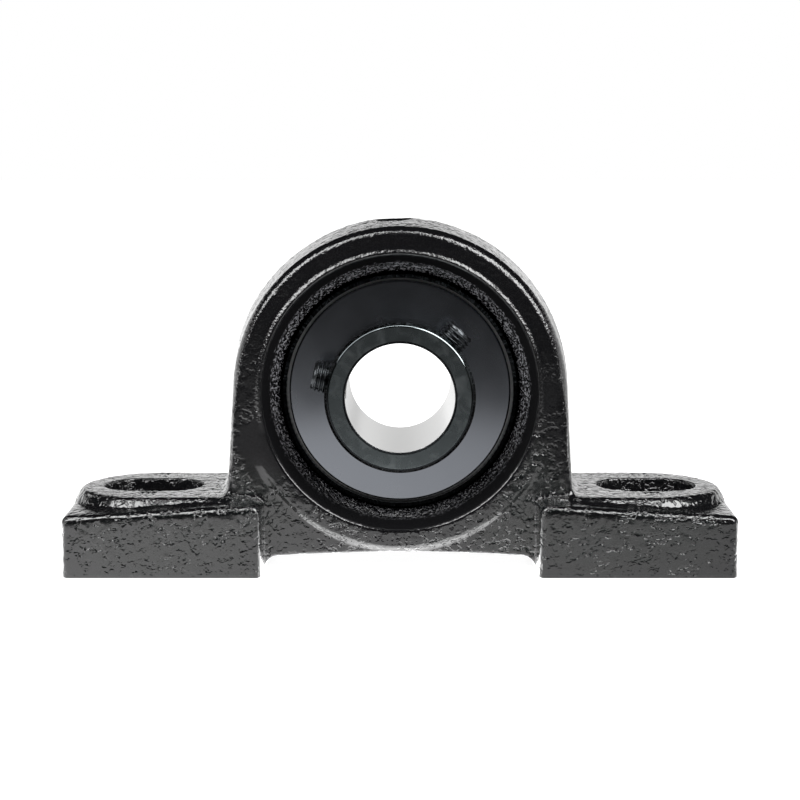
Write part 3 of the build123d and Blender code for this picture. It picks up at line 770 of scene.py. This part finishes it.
finishes = {
    "outer_ring": ringSteel, "inner_ring": ringSteel,
    "front_flinger": flingerSteel, "rear_flinger": flingerSteel,
    "cage_front_half": cageSteel, "cage_rear_half": cageSteel, "cage_rivets": cageSteel,
    "front_seal_shield": shieldSteel, "rear_seal_shield": shieldSteel,
    "front_seal_lip": sealRubber, "rear_seal_lip": sealRubber,
    "set_screw_left": screwSteel, "set_screw_right": screwSteel, "housing": enamel,
}
for name, node in nodes.items():
    node.data.materials.clear()
    node.data.materials.append(finishes.get(name, ballSteel))
print("finishes done")

# a white room that the gloss mirrors only in part
studioSet = {
    "fill": 0.35,                       # soft light from all round
    "sweepTop": (0.17, 0.36),           # sine of the elevation where the white sweep ends
    "sideReach": (-0.35, 0.25),         # the sweep wraps round the sides as far as this
    "sideLeast": 0.03,
    "dark": 0.015,
    # the floor as reflections see it: distances behind the middle, and brightness
    "litEdge": (-100 * mm, -72 * mm),   # the lit floor ends here in front
    "litFloor": 1.0,
    "dimEdge": (-400 * mm, -215 * mm),
    "dimFloor": (0.04, 0.20),
    "farEdge": (120 * mm, 900 * mm),
    "farFloor": (1.2, 0.75),
    "underEdge": (19.5 * mm, 13 * mm),      # the paper under the block itself, brightest of all
    "underFloor": 2.4,
    "sides": (-60 * mm, 80 * mm),       # brighter on the left than on the right
    "sideFloor": (1.12, 0.6),
    "paper": "#e6e6e6",
    "paperReach": (90 * mm, 420 * mm),  # the shadow shows near the block and fades out
    "paperGlow": (0.82, 1.0),
    "floorHalf": 6.0,
    "floorDrop": 0.02 * mm,             # keeps the floor clear of the base's own plane
}
world = bpy.data.worlds.new("studio")
bpy.context.scene.world = world
world.use_nodes = True
tree = world.node_tree
tree.nodes.clear()
toCamera, mirror = mirrorRays(tree)
aim = addNode(tree, "ShaderNodeSeparateXYZ",
              {0: addNode(tree, "ShaderNodeTexCoord").outputs["Generated"]})
sweep = addNode(tree, "ShaderNodeMapRange", {"Value": aim.outputs["Z"]}, interpolation_type="SMOOTHSTEP",
                in1=studioSet["sweepTop"][0], in2=studioSet["sweepTop"][1],
                in3=1.0, in4=studioSet["dark"])
around = addNode(tree, "ShaderNodeMapRange", {"Value": aim.outputs["Y"]}, interpolation_type="SMOOTHSTEP",
                 in1=studioSet["sideReach"][0], in2=studioSet["sideReach"][1],
                 in3=studioSet["sideLeast"], in4=1.0)
backdrop = addNode(tree, "ShaderNodeMath", {0: sweep.outputs[0], 1: around.outputs[0]},
                   operation="MULTIPLY")
seen = addNode(tree, "ShaderNodeMix", {"Factor": mirror, "B": backdrop.outputs[0]},
               data_type="FLOAT", in2=studioSet["fill"])
strength = addNode(tree, "ShaderNodeMath", {0: seen.outputs[0], 1: toCamera}, operation="MAXIMUM")
shade = addNode(tree, "ShaderNodeBackground", {"Strength": strength.outputs[0]}, Color=(1, 1, 1, 1))
addNode(tree, "ShaderNodeOutputWorld", {"Surface": shade.outputs[0]})

# Matt white paper under the block: it keeps a soft shadow, and reflections fall off round it.
paper, tree = newMaterial("whitePaper")
toCamera, mirror = mirrorRays(tree)
place = addNode(tree, "ShaderNodeTexCoord").outputs["Object"]
axes = addNode(tree, "ShaderNodeSeparateXYZ", {0: place})
near = addNode(tree, "ShaderNodeMapRange", {"Value": axes.outputs["Y"]}, interpolation_type="SMOOTHSTEP",
               in1=studioSet["litEdge"][0], in2=studioSet["litEdge"][1],
               in3=0.0, in4=studioSet["litFloor"])
dim = addNode(tree, "ShaderNodeMapRange", {"Value": axes.outputs["Y"]},
              in1=studioSet["dimEdge"][0], in2=studioSet["dimEdge"][1],
              in3=studioSet["dimFloor"][0], in4=studioSet["dimFloor"][1])
far = addNode(tree, "ShaderNodeMapRange", {"Value": axes.outputs["Y"]},
              in1=studioSet["farEdge"][0], in2=studioSet["farEdge"][1],
              in3=studioSet["farFloor"][0], in4=studioSet["farFloor"][1])
lit = addNode(tree, "ShaderNodeMath", {0: near.outputs[0], 1: far.outputs[0]}, operation="MINIMUM")
both = addNode(tree, "ShaderNodeMath", {0: lit.outputs[0], 1: dim.outputs[0]}, operation="ADD")
across = addNode(tree, "ShaderNodeMapRange", {"Value": axes.outputs["X"]},
                 in1=studioSet["sides"][0], in2=studioSet["sides"][1],
                 in3=studioSet["sideFloor"][0], in4=studioSet["sideFloor"][1])
faded = addNode(tree, "ShaderNodeMath", {0: both.outputs[0], 1: across.outputs[0]}, operation="MULTIPLY")
fromMiddle = addNode(tree, "ShaderNodeMath", {0: axes.outputs["Y"]}, operation="ABSOLUTE")
under = addNode(tree, "ShaderNodeMapRange", {"Value": fromMiddle.outputs[0]},
                in1=studioSet["underEdge"][0], in2=studioSet["underEdge"][1],
                in3=0.0, in4=studioSet["underFloor"])
inMirror = addNode(tree, "ShaderNodeMath", {0: faded.outputs[0], 1: under.outputs[0]}, operation="ADD")
away = addNode(tree, "ShaderNodeVectorMath", {0: place}, operation="LENGTH").outputs["Value"]
paleness = addNode(tree, "ShaderNodeMapRange", {"Value": away}, interpolation_type="SMOOTHSTEP",
                   in1=studioSet["paperReach"][0], in2=studioSet["paperReach"][1],
                   in3=studioSet["paperGlow"][0], in4=studioSet["paperGlow"][1])
glow = addNode(tree, "ShaderNodeMath", {0: paleness.outputs[0], 1: toCamera}, operation="MULTIPLY")
plain = addNode(tree, "ShaderNodeBsdfDiffuse", Color=hexColour(studioSet["paper"]))
shine = addNode(tree, "ShaderNodeEmission", {"Strength": glow.outputs[0]})
sheet = addNode(tree, "ShaderNodeAddShader", {0: plain.outputs[0], 1: shine.outputs[0]})
reflected = addNode(tree, "ShaderNodeEmission", {"Strength": inMirror.outputs[0]})
surface = addNode(tree, "ShaderNodeMixShader", {0: mirror, 1: sheet.outputs[0], 2: reflected.outputs[0]})
addNode(tree, "ShaderNodeOutputMaterial", {"Surface": surface.outputs[0]})
floorMesh = bpy.data.meshes.new("floor")
half = studioSet["floorHalf"]
corners = [(-half, -half, 0), (half, -half, 0), (half, half, 0), (-half, half, 0)]
floorMesh.from_pydata(corners, [], [(0, 1, 2, 3)])
floor = newPiece("floor", floorMesh, paper)
floor.location.z = -studioSet["floorDrop"]

lampSet = {
    # name: direction from the shaft's axis, distance, length across, width, power
    "leftBox": ((-0.568, -0.5, 0.654), 0.7, 0.56, 0.36, 4.2),
    "rightBox": ((0.59, -0.5, 0.633), 0.7, 0.56, 0.36, 4.8),
    "topStrip": ((0.0, -0.37, 0.93), 0.8, 0.50, 0.09, 1.3),
}
for name, (way, distance, length, width, power) in lampSet.items():
    data = bpy.data.lights.new(name, "AREA")
    data.shape = "RECTANGLE"
    data.size = length
    data.size_y = width
    data.energy = power
    lamp = bpy.data.objects.new(name, data)
    outward = Vector(way).normalized()
    across = Vector((0, 1, 0)).cross(outward).normalized()      # the long side runs round the shaft
    lamp.matrix_world = (Matrix.Translation(Vector((0, 0, axisHeight)) + outward * distance)
                         @ Matrix((across, outward.cross(across), outward)).transposed().to_4x4())
    bpy.context.scene.collection.objects.link(lamp)
bpy.context.scene.view_settings.view_transform = "Standard"
print("studio done")
